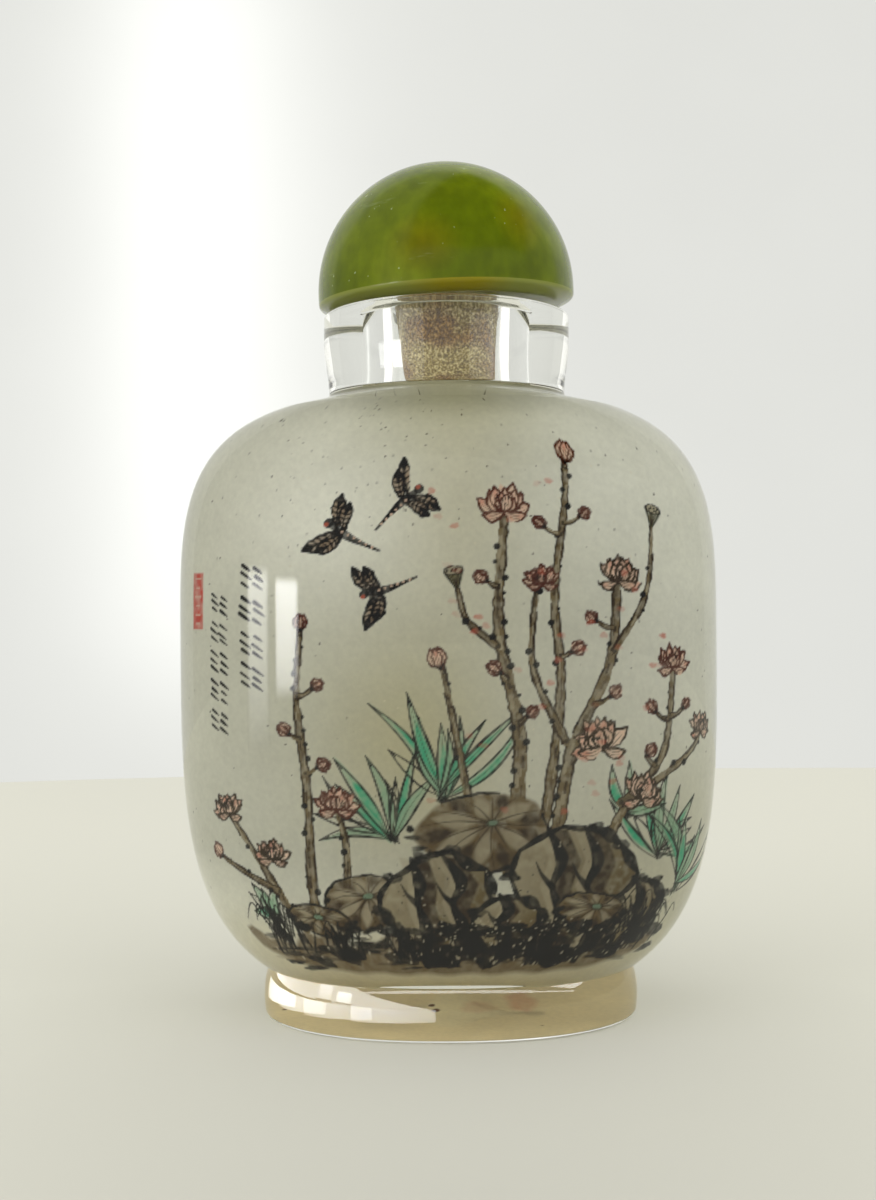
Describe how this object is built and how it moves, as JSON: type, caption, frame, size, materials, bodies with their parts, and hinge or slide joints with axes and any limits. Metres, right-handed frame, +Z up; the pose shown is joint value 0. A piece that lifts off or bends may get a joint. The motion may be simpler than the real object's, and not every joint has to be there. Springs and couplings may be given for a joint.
{
  "type": "snuff bottle",
  "caption": "Flattened clear glass snuff bottle on an oval foot, frosted and painted on its inner wall, with a green stone dome stopper on a cork.",
  "frame": {"origin": "centre of the foot's flat underside, on the surface the bottle stands on", "axes": "+Z up along the neck, -Y out of the front face, +X to the viewer's right"},
  "size_m": [0.046, 0.028, 0.0727],
  "materials": {
    "clear_glass": "polished outside, frosted and painted inside",
    "green_stone": "polished",
    "cork": "bare, granular"
  },
  "bodies": {
    "root": {"bottle": "clear_glass", "stopper_cap": "green_stone", "stopper_cork": "cork"}
  },
  "joints": []
}
